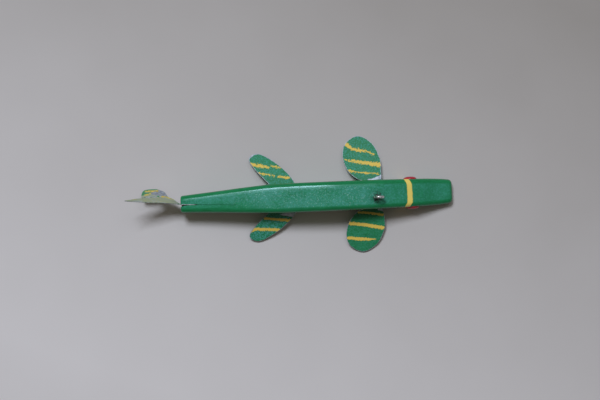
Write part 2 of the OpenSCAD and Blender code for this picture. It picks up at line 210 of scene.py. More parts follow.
def addPiece(name, bm, materials, sharpAngle=38):
    bmesh.ops.scale(bm, vec=(mm, mm, mm), verts=bm.verts)
    bmesh.ops.recalc_face_normals(bm, faces=bm.faces)
    mesh = bpy.data.meshes.new(name)
    bm.to_mesh(mesh)
    bm.free()
    for material in materials:
        mesh.materials.append(material)
    smoothFaces(mesh, sharpAngle)
    return addObject(name, mesh)


def meshOf(thing):  # as its modifiers or its bevel leave it
    depsgraph = bpy.context.evaluated_depsgraph_get()
    return bpy.data.meshes.new_from_object(thing.evaluated_get(depsgraph))


def applyModifiers(piece, sharpAngle=38):
    made = meshOf(piece)
    piece.modifiers.clear()
    piece.data = made
    smoothFaces(made, sharpAngle)


def setFields(piece, **rules):  # a number for each vertex, from a rule on its place in mm
    for name, rule in rules.items():
        field = piece.data.attributes.new(name, "FLOAT", "POINT")
        field.data.foreach_set("value", [rule(v.co / mm) for v in piece.data.vertices])


def finishPiece(piece, slotName, *nodes):
    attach(piece, "root")
    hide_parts(*nodes)


# paints, metals and wood

enamelLook = {
    "green": "#228A56",
    "thickGreen": "#197845",  # where the brush left more
    "hazeAndSheen": "#52ABA0",  # dull bluish bloom on the worn back, partly a painted bluish sheen
    "yellow": "#EBCB5E",
    "bandYellow": "#F4DD74",  # laid on thicker
    "yellowThin": "#B5B04C",  # yellow that lets the green show through
    "fleck": "#9CCFC4", "dust": "#4F7A5A",  # pale chips and brown dust in the bloom and painted sheen
    # the second colour is painted shade on the fins by the body; the first darkens the back round the screw
    # eye
    "bodyDarkening": "#2E4A3E", "finShade": "#10301F",
    "sheen": "#C2EAF6", "sheenLevel": 0.4,  # the cool, held-back highlight of old paint
    "roughness": 0.19, "hazeRoughness": 0.3,  # the second is added where the bloom and painted sheen are full
    # mm, the size of each kind of mark
    "brushSpacing": 0.9,  # real bristle marks are about 0.3 and would not show
    "fleckSize": 0.9, "speckSize": 1.3, "finSpeckSize": 0.95, "grimeSize": 1.6, "patchSize": 14,
    # marks per metre along and across the stroke, where a drying brush drags the yellow
    "bandDrag": (650, 1100, 1100), "strokeDrag": (850, 1300, 1300),
}
tinLook = {
    "tin": "#C2CCD8",
    "tinDark": "#8C97A3",
    "olive": "#9DA98C",  # thinned tail paint over the metal
    "edge": "#C3C8D0", "edgeDull": "#5F7C6C",
    "spangle": 2.2,  # mm, the patches of the coating
    "speckSize": 0.8, "washSize": 3, "dullSize": 1.5,
}
steelLook = {"steel": "#DDE0E4", "rust": "#5B4632", "paint": "#1D6A45", "grimeSize": 1.2}
bradLook = {"paint": "#1A7A4E", "steel": "#9A9DA0", "wearSize": 0.9}
redLook = {"red": "#C81434", "redDark": "#9A1430", "nick": "#8F9296", "roughness": 0.36,
           "cloudSize": 2.5, "chipSize": 0.7}
leadLook = {"lead": "#7A7E82", "oxide": "#8F9190", "smear": "#1C7C50", "fileSpacing": 0.7, "oxideSize": 4}
pineLook = {"pine": "#B58C5A", "ring": "#8A6236", "dirt": "#2F2A20", "ringSpacing": 2.4, "fibreSize": 0.4}


def brushedGreen(tree, bristles):  # lighter where the bristles left less paint
    return blend(tree, ramp(tree, bristles, 0.35, 0.65), enamelLook["thickGreen"], enamelLook["green"])


def zincSpangle(tree, coords):  # bare galvanised metal in light and dark patches
    patches = addNode(tree, "TexVoronoi", {"Vector": coords, "Scale": 1 / (tinLook["spangle"] * mm)})
    return blend(tree, patches, tinLook["tin"], tinLook["tinDark"])


# yellow enamel brushed over green: the green shows through where the brush ran dry
def yellowOver(tree, coords, green, amount, drag, full):
    dragged = addNode(tree, "Mapping", {"Vector": coords, "Scale": drag})
    dry = addNode(tree, "TexNoise", {"Vector": dragged, "Scale": 1, "Detail": 3})
    edge = tornEdge(tree, dry, amount, "yellow")
    mask = ramp(tree, edge, -0.1, 0.16)
    yellow = blend(tree, ramp(tree, edge, 0, 0.5), enamelLook["yellowThin"], enamelLook[full])
    return mask, blend(tree, mask, green, yellow)


# oil enamel brushed on bare pine: level and semi-gloss, with lengthwise bristle marks, a bluish bloom with
# fine dull specks along the back that is partly a painted sheen, and a crisper green on the head, darker
# there as painted shade because it gets less of that painted sheen
def makeBodyEnamel():
    look = enamelLook
    material, tree, coords = newMaterial("brushed_green_enamel")
    bristles = speckle(tree, coords, look["brushSpacing"], 4, 0.6, (0.07, 1, 1))
    broad = speckle(tree, coords, look["patchSize"], 3)
    specks = speckle(tree, coords, look["speckSize"], 5, 0.7)
    patchy = ramp(tree, broad, 0.3, 0.7, 0.25, 0.8)
    speckled = timesPlus(tree, ramp(tree, specks, 0.47, 0.62), 0.6, patchy)
    # painted sheen: a bluish haze in patches and specks on the flat of the back, standing partly for
    # reflected light
    bloomAndSheenAmount = times(tree, times(tree, fieldOf(tree, "bloom"), speckled), 0.5)
    withBloomAndSheen = blend(tree, bloomAndSheenAmount, brushedGreen(tree, bristles), look["hazeAndSheen"])
    flecks = speckle(tree, coords, look["fleckSize"], 2)
    rubbed = fieldOf(tree, "rubbed")
    pale = blend(tree, times(tree, ramp(tree, flecks, 0.6, 0.68, 0, 0.5), rubbed), withBloomAndSheen, look["fleck"])
    flecked = blend(tree, times(tree, ramp(tree, flecks, 0.38, 0.3, 0, 0.55), rubbed), pale, look["dust"])
    mask, colour = yellowOver(tree, coords, flecked, 0.7, look["bandDrag"], "bandYellow")
    # darker round the screw eye, broken into smudges
    smudges = ramp(tree, speckle(tree, coords, look["grimeSize"], 3), 0.35, 0.6)
    darkened = blend(tree, times(tree, fieldOf(tree, "grime"), smudges), colour, look["bodyDarkening"])
    roughness = timesPlus(tree, bloomAndSheenAmount, look["hazeRoughness"], look["roughness"])
    brushMarks = bumpOf(tree, timesPlus(tree, mask, 0.9, bristles), 0.35, 0.09)
    setShader(tree, {"Base Color": darkened, "Roughness": roughness, "IOR": 1.5,
                     "Specular IOR Level": look["sheenLevel"],
                     "Specular Tint": linearColour(look["sheen"]),
                     "Normal": bumpOf(tree, specks, 0.25, 0.08, brushMarks)})
    return material


# the same enamel on galvanised tin: the zinc's patches and pits show through, and it has chipped
# to bright metal by the body and thinly along the cut edge; its bluish bloom is partly a painted sheen, and
# near the body it is darkened as painted shade
def makeFinEnamel():
    look = enamelLook
    material, tree, coords = newMaterial("green_enamel_on_tin")
    bristles = speckle(tree, coords, look["brushSpacing"], 4, 0.6, (0.16, 1, 1))
    specks = speckle(tree, coords, look["finSpeckSize"], 4, 0.7)
    # painted sheen: a bluish haze in specks, standing partly for reflected light
    bloomAndSheenAmount = times(tree, ramp(tree, specks, 0.42, 0.62, -0.1, 1.1), fieldOf(tree, "bloom"))
    withBloomAndSheen = blend(tree, bloomAndSheenAmount, brushedGreen(tree, bristles), look["hazeAndSheen"])
    mask, colour = yellowOver(tree, coords, withBloomAndSheen, 4.4, look["strokeDrag"], "yellow")
    bare = ramp(tree, tornEdge(tree, specks, 1.6, "bare"), -0.05, 0.1)
    # painted shade: darker towards the body, where its shadow falls on the fin
    darkened = blend(tree, fieldOf(tree, "grime"), colour, look["finShade"])
    surface = blend(tree, bare, darkened, zincSpangle(tree, coords))
    chipped = timesPlus(tree, bare, -1.2, timesPlus(tree, mask, 1, bristles))
    setShader(tree, {"Base Color": surface, "Metallic": times(tree, bare, 0.7),
                     "Roughness": ramp(tree, specks, 0.3, 0.7, 0.5, 0.7), "IOR": 1.5,
                     "Specular IOR Level": 0.3, "Normal": bumpOf(tree, chipped, 0.4, 0.1)})
    return material


# a thin wash of the same paints on the tail, worn to grey metal on the lower lobe and to pale olive on
# the upper one, which is paler partly as a painted reflection of light caught at a glancing angle
def makeTailEnamel():
    material, tree, coords = newMaterial("worn_enamel_on_tail_tin")
    specks = speckle(tree, coords, tinLook["speckSize"], 5, 0.7)
    wash = speckle(tree, coords, tinLook["washSize"], 4, 0.5, (0.25, 1, 1))
    metal = zincSpangle(tree, coords)
    olive = blend(tree, ramp(tree, wash, 0.25, 0.5), metal, tinLook["olive"])
    greenEdge = tornEdge(tree, specks, 2.2, "green")
    green = blend(tree, ramp(tree, greenEdge, -0.2, 0.3, 0, 0.9), olive, enamelLook["green"])
    bare = ramp(tree, tornEdge(tree, specks, 1.6, "bare"), -0.15, 0.15)
    worn = blend(tree, bare, green, metal)
    mask, colour = yellowOver(tree, coords, worn, 2, enamelLook["strokeDrag"], "yellow")
    setShader(tree, {"Base Color": colour, "Metallic": times(tree, bare, 0.6), "Roughness": 0.46,
                     "IOR": 1.5, "Normal": bumpOf(tree, timesPlus(tree, mask, 0.8, specks), 0.35, 0.1)})
    return material


# the snipped edge of galvanised sheet: bright, a little rough, dulled in places
def makeSnippedTin():
    material, tree, coords = newMaterial("snipped_tin_edge")
    dull = speckle(tree, coords, tinLook["dullSize"], 4)
    colour = blend(tree, ramp(tree, dull, 0.4, 0.62), tinLook["edge"], tinLook["edgeDull"])
    setShader(tree, {"Base Color": colour, "Metallic": 0.35, "Roughness": 0.38,
                     "Normal": bumpOf(tree, dull, 0.4, 0.08)})
    return material


# plated steel wire, bright where the line rubs, with dark grime and green paint left on one side
def makePlatedSteel():
    look = steelLook
    material, tree, coords = newMaterial("plated_steel_wire")
    grime = speckle(tree, coords, look["grimeSize"], 4)
    painted = ramp(tree, tornEdge(tree, grime, 1.8, "paint"), -0.05, 0.08)
    steel = blend(tree, ramp(tree, grime, 0.55, 0.75, 0, 0.6), look["steel"], look["rust"])
    setShader(tree, {"Base Color": blend(tree, painted, steel, look["paint"]),
                     "Metallic": ramp(tree, painted, 0, 1, 0.8, 0),
                     "Roughness": ramp(tree, grime, 0.3, 0.7, 0.26, 0.42),
                     "Normal": bumpOf(tree, painted, 0.5, 0.1)})
    return material


# small steel brads painted over with the body: green film with steel showing at the rim and scratches
def makePaintedBrad():
    material, tree, coords = newMaterial("painted_steel_brad")
    wear = speckle(tree, coords, bradLook["wearSize"], 4)
    bare = ramp(tree, wear, 0.52, 0.58)
    setShader(tree, {"Base Color": blend(tree, bare, bradLook["paint"], bradLook["steel"]),
                     "Metallic": bare, "Roughness": 0.4, "Normal": bumpOf(tree, wear, 0.4, 0.1)})
    return material


# red enamel on stamped tack heads: glossy, a shade darker where it is thick, nicked at the rim
def makeRedEnamel():
    look = redLook
    material, tree, coords = newMaterial("red_enamel_on_tack")
    cloud = speckle(tree, coords, look["cloudSize"], 4)
    colour = blend(tree, ramp(tree, cloud, 0.4, 0.65), look["red"], look["redDark"])
    chips = speckle(tree, coords, look["chipSize"], 3)
    bare = ramp(tree, tornEdge(tree, chips, 3, "rim", 0.62), 0, 0.1)
    setShader(tree, {"Base Color": blend(tree, bare, colour, look["nick"]), "Metallic": bare,
                     "Roughness": look["roughness"], "IOR": 1.5,
                     "Normal": bumpOf(tree, cloud, 0.2, 0.1)})
    return material


# lead poured into the belly and filed level: soft grey, oxidised, with file marks and green smears
def makeCastLead():
    look = leadLook
    material, tree, coords = newMaterial("cast_lead")
    filed = speckle(tree, coords, look["fileSpacing"], 3, 0.5, (1, 0.12, 1))
    oxide = speckle(tree, coords, look["oxideSize"], 5)
    colour = blend(tree, ramp(tree, oxide, 0.4, 0.62), look["lead"], look["oxide"])
    smear = ramp(tree, oxide, 0.64, 0.7)
    setShader(tree, {"Base Color": blend(tree, smear, colour, look["smear"]),
                     "Metallic": ramp(tree, smear, 0, 1, 0.75, 0), "Roughness": 0.5,
                     "Normal": bumpOf(tree, filed, 0.5, 0.12)})
    return material


# sawn white pine inside the cuts: yellow-brown with growth rings, dirty and matt
def makeSawnPine():
    look = pineLook
    material, tree, coords = newMaterial("sawn_pine")
    alongGrain = addNode(tree, "Mapping", {"Vector": coords, "Scale": (0.1, 1, 1)})
    # a wave of scale 1 has its rings a twentieth of a unit apart
    rings = addNode(tree, "TexWave", {"Vector": alongGrain, "Scale": 1 / (look["ringSpacing"] * mm * 20),
                                      "Distortion": 3, "Detail": 2}, wave_type="RINGS")
    fibre = speckle(tree, coords, look["fibreSize"], 3, 0.5, (0.08, 1, 1))
    colour = blend(tree, rings, look["pine"], look["ring"])
    darkened = blend(tree, ramp(tree, fibre, 0.4, 0.7, 0.35, 0.8), colour, look["dirt"])
    setShader(tree, {"Base Color": darkened, "Roughness": 0.8, "Normal": bumpOf(tree, fibre, 0.5, 0.15)})
    return material


bodyEnamel, finEnamel, tailEnamel = makeBodyEnamel(), makeFinEnamel(), makeTailEnamel()
snippedTin, platedSteel, paintedBrad = makeSnippedTin(), makePlatedSteel(), makePaintedBrad()
redEnamel, castLead, sawnPine = makeRedEnamel(), makeCastLead(), makeSawnPine()
print("materials made")


# shape of the body, as the CAD has it

decoyBody = {
    "width": 20.6, "height": 28,
    # share of the length from the tail end, share of the size there
    "backLine": [(0, 0.695), (0.14, 0.78), (0.29, 0.885), (0.44, 0.955), (0.58, 1), (0.7, 0.92),
                 (0.8, 0.745), (0.88, 0.6), (0.94, 0.41), (1, 0.3)],
    "sideLine": [(0, 0.575), (0.1, 0.69), (0.22, 0.85), (0.35, 0.98), (0.48, 1), (0.7, 0.985),
                 (0.9, 0.935), (0.96, 0.88), (1, 0.8)],
    "backRounding": 3.6, "bellyRounding": 3.0, "snoutRounding": 2.6, "tailRounding": 1.2,
    "tailLift": 8, "riseStart": 0.29, "chinLift": 1.4, "chinStart": 0.9,
    "tailDrift": 1.3, "driftEnd": 0.35, "bellySanding": 0.4,
    "stationStep": 1.6,  # mm between the cuts along the body
    "facetDrop": 0.19,  # mm, the knife ran a little deeper along the left edge of the back
    "knifeDepth": 0.16, "knifeGrain": 11,  # shallow hollows left by the knife
    "mouthLength": 15, "mouthDepth": 0.9, "mouthGape": 0.9, "mouthZ": 4.4,
}


def shareAt(x):
    return min(max((x - tailX) / (noseX - tailX), 0), 1)


def backZ(x):
    return decoyBody["height"] * curveAt(shareAt(x), decoyBody["backLine"])


def halfWidth(x):
    return decoyBody["width"] / 2 * curveAt(shareAt(x), decoyBody["sideLine"])


def keelZ(x):
    s = shareAt(x)
    if s < decoyBody["riseStart"]:
        return decoyBody["tailLift"] * (1 - s / decoyBody["riseStart"]) ** 1.5
    chin = max(s - decoyBody["chinStart"], 0) / (1 - decoyBody["chinStart"])
    return decoyBody["chinLift"] * chin ** 1.5


def middleY(x):
    return -decoyBody["tailDrift"] * max(1 - shareAt(x) / decoyBody["driftEnd"], 0) ** 1.5


def sideY(x, side):
    return middleY(x) + side * halfWidth(x)


def middleZ(x):
    return (backZ(x) + keelZ(x)) / 2


def shapeVertex(v):  # from the straight blank to the carved body
    b = decoyBody
    x, blankHalf, keep = v.co.x, b["width"] / 2, b["backRounding"]
    away, width = blankHalf - abs(v.co.y), halfWidth(x)
    y = width - away if away < keep else (width - keep) * abs(v.co.y) / (blankHalf - keep)
    facet = b["facetDrop"] * smoothStep(5, 7.2, v.co.y) * (width - keep) / (blankHalf - keep)
    top, low = backZ(x) - facet, keelZ(x) - b["bellySanding"]
    fromTop, fromLow = b["height"] - v.co.z, v.co.z + b["bellySanding"]
    if fromTop < keep:
        z = top - fromTop
    elif fromLow < b["bellyRounding"]:
        z = low + fromLow
    else:
        blankLow, blankTop = b["bellyRounding"] - b["bellySanding"], b["height"] - keep
        share = (v.co.z - blankLow) / (blankTop - blankLow)
        z = low + b["bellyRounding"] + share * (top - keep - low - b["bellyRounding"])
    v.co = (x, middleY(x) + math.copysign(y, v.co.y) if v.co.y else middleY(x), z)


def roundEdges(bm, edges, radius, segments):
    bmesh.ops.bevel(bm, geom=edges, offset=radius, offset_type="OFFSET", segments=segments,
                    profile=0.5, affect="EDGES", material=-1)


def makeBlank():
    b = decoyBody
    bm = bmesh.new()
    bmesh.ops.create_cube(bm, size=1)
    shift(bm, (0.5, 0, 0.5))
    bmesh.ops.scale(bm, vec=(noseX - tailX, b["width"], b["height"] + b["bellySanding"]), verts=bm.verts)
    shift(bm, (tailX, 0, -b["bellySanding"]))
    longEdges = [e for e in bm.edges if abs(e.verts[0].co.x - e.verts[1].co.x) > 1]
    backEdges = [e for e in longEdges if e.verts[0].co.z > 1]
    roundEdges(bm, backEdges, b["backRounding"], 7)
    bellyEdges = [e for e in bm.edges if abs(e.verts[0].co.x - e.verts[1].co.x) > 1
                  and abs(e.verts[0].co.y) > b["width"] / 2 - 0.01 and e.verts[0].co.z < 0]
    roundEdges(bm, bellyEdges, b["bellyRounding"], 6)
    for x, radius in ((noseX, b["snoutRounding"]), (tailX, b["tailRounding"])):
        rim = [e for e in bm.edges if all(abs(v.co.x - x) < 0.01 for v in e.verts)]
        roundEdges(bm, rim, radius, 5)
    for x in spread(tailX + b["tailRounding"], noseX - b["snoutRounding"], b["stationStep"]):
        cutAt(bm, (x, 0, 0), (1, 0, 0))
    for y in (-5, -2.5, 0, 2.5, 5, 5.9):
        cutAt(bm, (0, y, 0), (0, 1, 0))
    for z in (4, 7, 10, 13, 16, 19, 22):
        cutAt(bm, (0, 0, z), (0, 0, 1))
    for v in bm.verts:
        shapeVertex(v)
    bm.normal_update()
    for v in bm.verts:
        grain = grainAt((v.co.x / 2.2, v.co.y, v.co.z), b["knifeGrain"])
        v.co -= v.normal * b["knifeDepth"] * (0.5 + 0.5 * grain)
        v.co.z = max(v.co.z, 0)
    return bm


# the cuts in the body: saw kerfs, mouth, pockets for the lead, and places for the fasteners

finShapes = {
    # distance behind the front edge, distance out from the body's side
    "pectoralOutline": [(1.4, 0), (1.3, 6), (1.5, 15), (6.3, 26.3), (15.8, 32.6), (24.8, 28.4), (27.9, 19.8),
                        (25.4, 8.6), (19.4, 2), (15, 0)],
    "pectoralFront": 5.2, "pectoralRootZ": 7.9, "pectoralDroop": 12.5,
    "pelvicOutline": [(0, 0), (4.2, 7), (13.2, 16.2), (23.6, 23.2), (30, 22.6), (31.8, 18.4),
                      (26.9, 10.4), (18.2, 0)],
    "pelvicShare": 0.42, "pelvicRootZ": 9.6, "pelvicDroop": 21.5, "pelvicRightSweep": 5.5,
    # length and breadth as shares of the outline's; the right pectoral fin was snipped differently
    "trim": 0.997, "rightTrim": 0.945, "rightBroad": 1.035,
    "rightStep": 1.3,  # mm, how far forward that fin's blade stands
    "sheet": 0.45, "play": 0.05, "tabDepth": 6.5, "bradPitch": 8,
    "cell": 0.55,  # mm, mesh cell of a fin
    "waveSize": 16, "waveDepth": 0.35, "dentSize": 3, "dentDepth": 0.05,  # mm, the tin isn't quite flat
    "burr": 0.08,  # mm, softening of a snipped edge
}
tailShape = {
    # distance behind the body, height in the sheet
    "frontLow": [(28.1, -7.5), (27.2, -11.6), (23.5, -12.7), (16.1, -11.9), (12.6, -10.9), (10.6, -7.8),
                 (8.6, -5.4), (0.5, -5.2)],
    "frontHigh": [(0.5, 5.2), (9, 8.4), (21, 14.8), (36.75, 21.5)],
    "rearLow": [(28.3, -5), (27.6, -2.4), (25, -1.2), (22.5, -0.7), (20, -0.5), (18, -0.3), (16.2, -0.1),
                (15.2, 0.2)],
    "rearHigh": [(14.8, 2.2), (20, 6.4), (29, 13.7), (36.4, 20.85)],
    "tabLength": 36, "tabHeight": 10.4, "kerfRunOut": 5, "kerfAngle": 2.8, "kerfMouthY": 1.4,
    "flareLength": 7, "flareWidth": 1.5, "chipDepth": 8,
    "upperLean": 27, "lowerLean": 33, "upperCrease": 3.5, "lowerCrease": -2.5,  # degrees, mm up the sheet
    "leanStart": 7, "reach": 17.5, "bendBack": 0.8, "driftSlope": 0.11,
    "neckU": 0.5,  # mm behind the body, where the tab begins
    "tabRise": 0.72, "tabFade": 4,  # mm, the tab fills the open kerf to the back
    "openLength": 12,  # how far the kerf is open at the top; further in, paint has bridged it
    "grooveWidth": 0.42, "grooveDepth": 0.42,  # the line left in that paint
}
pelvicFront = tailX + finShapes["pelvicShare"] * (noseX - tailX)


def finPlace(kind, side):  # from a fin's own plane to its place on the body
    front = finShapes["pectoralFront"] if kind == "pectoral" else pelvicFront
    root = Vector((front, sideY(front - finShapes["bradPitch"], side), finShapes[kind + "RootZ"]))
    return (Matrix.Translation(root) @ Matrix.Diagonal((1, side, 1, 1))
            @ Matrix.Rotation(-math.radians(finShapes[kind + "Droop"]), 4, "X"))


def mergeInto(bm, part):  # moves the part's mesh into bm
    mesh = bpy.data.meshes.new("part")
    part.to_mesh(mesh)
    part.free()
    bm.from_mesh(mesh)
    bpy.data.meshes.remove(mesh)


def boxPart(low, high, turn=Matrix()):
    part = bmesh.new()
    bmesh.ops.create_cube(part, size=1)
    bmesh.ops.scale(part, vec=[h - l for l, h in zip(low, high)], verts=part.verts)
    shift(part, (Vector(low) + Vector(high)) / 2)
    part.transform(turn)
    return part


def discPart(radius, height, turn, segments):
    part = bmesh.new()
    bmesh.ops.create_cone(part, cap_ends=True, segments=segments, radius1=radius, radius2=radius,
                          depth=height, matrix=turn)
    return part


def slotPart(length, width, height, centre):  # a block with round ends, its bottom at the centre's z
    part = boxPart((-length / 2, -width / 2, 0), (length / 2, width / 2, height))
    upright = [e for e in part.edges if abs(e.verts[0].co.z - e.verts[1].co.z) > height / 2]
    roundEdges(part, upright, width / 2 - 0.001, 14)
    bmesh.ops.remove_doubles(part, verts=part.verts, dist=0.01)
    shift(part, centre)
    return part


def kerfPlace():  # the tail's saw kerf: x forward from its mouth, y left, z up from the tab's middle
    return (Matrix.Translation((tailX, -tailShape["kerfMouthY"], middleZ(tailX)))
            @ Matrix.Rotation(-math.radians(tailShape["kerfAngle"]), 4, "Z"))


def centreOf(node):
    low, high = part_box(node)
    return (low + high) / 2 / mm


seats = {
    "bradRadius": 1.36, "bradDepth": 0.55, "tackRadius": 4.75, "tackDepth": 0.32, "toolHeight": 4,
    "pocketPlay": 0.1, "rearPlay": 1.2, "frontPlay": 0.9,  # round the lead, and past a fin's tab
    "past": 2, "finPast": 3, "tall": 30,  # how far a cutter runs out of the wood
}
onSide = Matrix.Rotation(math.pi / 2, 4, "X")
kerfHalf = finShapes["sheet"] / 2 + finShapes["play"]
kerfEnd = tailShape["tabLength"] + tailShape["kerfRunOut"]


def makeCutters():
    bm, s, past = bmesh.new(), finShapes, seats["past"]
    mergeInto(bm, boxPart((-past, -kerfHalf, -seats["tall"]),
                          (tailShape["openLength"], kerfHalf, seats["tall"]), kerfPlace()))
    for kind in ("pectoral", "pelvic"):
        outline = s[kind + "Outline"]
        for side in sides.values():
            rear, front = -outline[-1][0] - seats["rearPlay"], -outline[0][0] + seats["frontPlay"]
            mergeInto(bm, boxPart((rear, -s["tabDepth"] - s["play"], -kerfHalf),
                                  (front, seats["finPast"], kerfHalf), finPlace(kind, side)))
    for name in ("front", "rear"):
        low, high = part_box("ballast_" + name)
        size = (high - low) / mm
        mergeInto(bm, slotPart(size.x + seats["pocketPlay"], size.y + seats["pocketPlay"], size.z + past,
                               ((high.x + low.x) / 2 / mm, 0, -past)))
    height = seats["toolHeight"]
    above = height / 2 - seats["bradDepth"]  # from a brad's head to the middle of its cutter
    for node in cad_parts:
        spot = centreOf(node)
        if node.startswith("tail_brad"):
            place = Matrix.Translation((spot.x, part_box(node)[1].y / mm + above, spot.z)) @ onSide
        else:
            place = Matrix.Translation((spot.x, spot.y, -above))
        if "brad" in node:
            mergeInto(bm, discPart(seats["bradRadius"], height, place, 28))
    for name, side in sides.items():
        spot = centreOf("eye_tack_" + name)
        wall = sideY(spot.x, side) - side * seats["tackDepth"]
        place = Matrix.Translation((spot.x, wall + side * height / 2, spot.z)) @ onSide
        mergeInto(bm, discPart(seats["tackRadius"], height, place, 64))
    return bm


def makeMouth():  # a band round the snout that cuts the line of the mouth
    b = decoyBody
    startX = noseX - b["mouthLength"]
    inner = [(x, halfWidth(x) - b["mouthDepth"] * smoothStep(startX, startX + 3, x) + 0.3) for x in
             [startX + (b["mouthLength"] - b["snoutRounding"]) * k / 8 for k in range(9)]]
    inner.append((noseX - b["mouthDepth"], halfWidth(noseX) - b["snoutRounding"] - b["mouthDepth"]))
    outer = [(x, 14) for x, y in inner[:-1]] + [(noseX + 3, 14)]
    mouth = bmesh.new()
    chains = []
    for line in (inner, outer):
        verts = [mouth.verts.new((x, y, 0)) for x, y in line + [(x, -y) for x, y in reversed(line)]]
        chains += [mouth.edges.new(pair) for pair in zip(verts, verts[1:])]
    raised(mouth, bmesh.ops.bridge_loops(mouth, edges=chains)["faces"], b["mouthGape"])
    shift(mouth, (0, 0, b["mouthZ"] - b["mouthGape"] / 2))
    bmesh.ops.recalc_face_normals(mouth, faces=mouth.faces)
    return mouth


gillBand = {
    "flatX": 22.45, "halfWidth": 1.95,
    "shoulderBack": 2.0,  # how far it has run back by the edge of the back
    "cheekBack": 3.9,  # how much further it runs back beside the eye
    "throatForward": 2.2,  # how far it comes forward again at the throat
}
strayDab = {"place": (-121, -8.2, 14.5), "stretch": (5, 1, 0.8), "size": 0.55}  # of yellow, by the tail
eyeSpot = centreOf("line_tie")


def bandField(p):  # distance inside the edge of the yellow band, mm
    g = gillBand
    centre = (g["flatX"] - g["shoulderBack"] * smoothStep(5.5, 10.5, abs(p.y))
              - g["cheekBack"] * smoothStep(18, 9, p.z) + g["throatForward"] * smoothStep(6, 0, p.z))
    wobble = 0.22 * grainAt((p.x * 0.2, p.y, p.z), 5, 2)
    away = [(here - there) / share for here, there, share in zip(p, strayDab["place"], strayDab["stretch"])]
    return max(g["halfWidth"] - abs(p.x - centre + wobble), strayDab["size"] - Vector(away).length)


def backShare(p):  # 1 on the flat of the back, less on its right half towards the tail
    onFlat = smoothStep(-0.6, -0.1, p.z - backZ(p.x)) * smoothStep(
        -2.4, -3.9, abs(p.y - middleY(p.x)) - halfWidth(p.x))
    return onFlat * (1 - 0.6 * smoothStep(0.5, -5, p.y - middleY(p.x)) * smoothStep(-60, -95, p.x))


def bloomField(p):  # dull bloom and painted bluish sheen on the flat of the back; thinner on the head, which is left darker as painted shade
    along = 0.72 + 0.35 * smoothStep(26, 18, p.x) + 0.15 * math.exp(-((p.x + 16) / 12) ** 2)
    return 0.03 + 0.97 * backShare(p) * along


def rubbedField(p):  # where handling has flecked the paint, behind the screw eye
    return backShare(p) * smoothStep(6, -10, p.x) * smoothStep(-112, -88, p.x)


def grimeField(p):  # darker round the screw eye, greyer further out
    away = math.hypot(p.x + 0.4, (p.y - eyeSpot.y + 0.3) * 1.15)
    return (0.95 * smoothStep(4.4, 2.6, away) + 0.25 * smoothStep(8.5, 4.5, away)) * (p.z > 20)


def makeChip():  # the splintered mouth of the kerf on the right of the back
    t, past = tailShape, seats["past"]
    chip = bmesh.new()
    length, wide = t["flareLength"], -kerfHalf - t["flareWidth"]
    outline = [(-past, 0), (length, 0), (length, -kerfHalf), (length * 0.45, -kerfHalf - 0.5), (0, wide),
               (-past, wide)]
    raised(chip, flatFace(chip, outline), seats["tall"])
    shift(chip, (0, 0, backZ(tailX) - middleZ(tailX) - t["chipDepth"]))
    chip.transform(kerfPlace())
    return chip


def makeInnerKerf():
    return boxPart((tailShape["openLength"] - 0.2, -kerfHalf, -seats["tall"]),
                   (kerfEnd, kerfHalf, tailShape["tabHeight"] / 2 + 0.05), kerfPlace())


def makeGroove():  # a shallow line over the bridged kerf, following the back
    t = tailShape
    xs = [t["openLength"] - 0.5 + (kerfEnd - t["openLength"]) * k / 12 for k in range(13)]
    rise = backZ(tailX) - middleZ(tailX)
    below = [(x, backZ(tailX + x) - backZ(tailX) + rise - t["grooveDepth"]
              * smoothStep(kerfEnd + 2, kerfEnd - 6, x) - 0.08) for x in xs]
    groove = bmesh.new()
    above = [(x, seats["tall"]) for x in (xs[-1], xs[0])]
    raised(groove, flatFace(groove, below + above), t["grooveWidth"])
    shift(groove, (0, 0, -t["grooveWidth"] / 2))
    groove.transform(kerfPlace() @ onSide)
    return groove


def makeBody():
    piece = addPiece("carved_body", makeBlank(), [bodyEnamel, sawnPine])
    sawn = [("cuts", makeCutters(), sawnPine), ("kerf", makeInnerKerf(), sawnPine),
            ("chip", makeChip(), sawnPine)]
    paintedOver = [("groove", makeGroove(), bodyEnamel), ("mouth", makeMouth(), bodyEnamel)]
    for name, shape, lining in sawn + paintedOver:
        cutter = addPiece(name, shape, [lining])
        cut = piece.modifiers.new(name, "BOOLEAN")
        cut.operation, cut.solver, cut.object = "DIFFERENCE", "EXACT", cutter
        cut.material_mode = "TRANSFER"
        applyModifiers(piece, 34)
        bpy.data.objects.remove(cutter)
    # the bloom field carries a painted sheen; the last field darkens the back round the screw eye
    setFields(piece, yellow=bandField, bloom=bloomField, rubbed=rubbedField, grime=grimeField)
    finishPiece(piece, "painted_wood", "body")


makeBody()
print("body carved")


# fins

def strokeField(strokes):  # distance inside the nearest brush stroke, mm; a stroke is (x, y, half width)
    def field(p):
        best = -9
        for stroke in strokes:
            for (ax, ay, ar), (bx, by, br) in zip(stroke, stroke[1:]):
                a, b, here = Vector((ax, ay)), Vector((bx, by)), Vector((p.x, p.y))
                t = min(max((here - a).dot(b - a) / (b - a).length_squared, 0), 1)
                best = max(best, ar + (br - ar) * t - (here - a.lerp(b, t)).length)
        return best
    return field
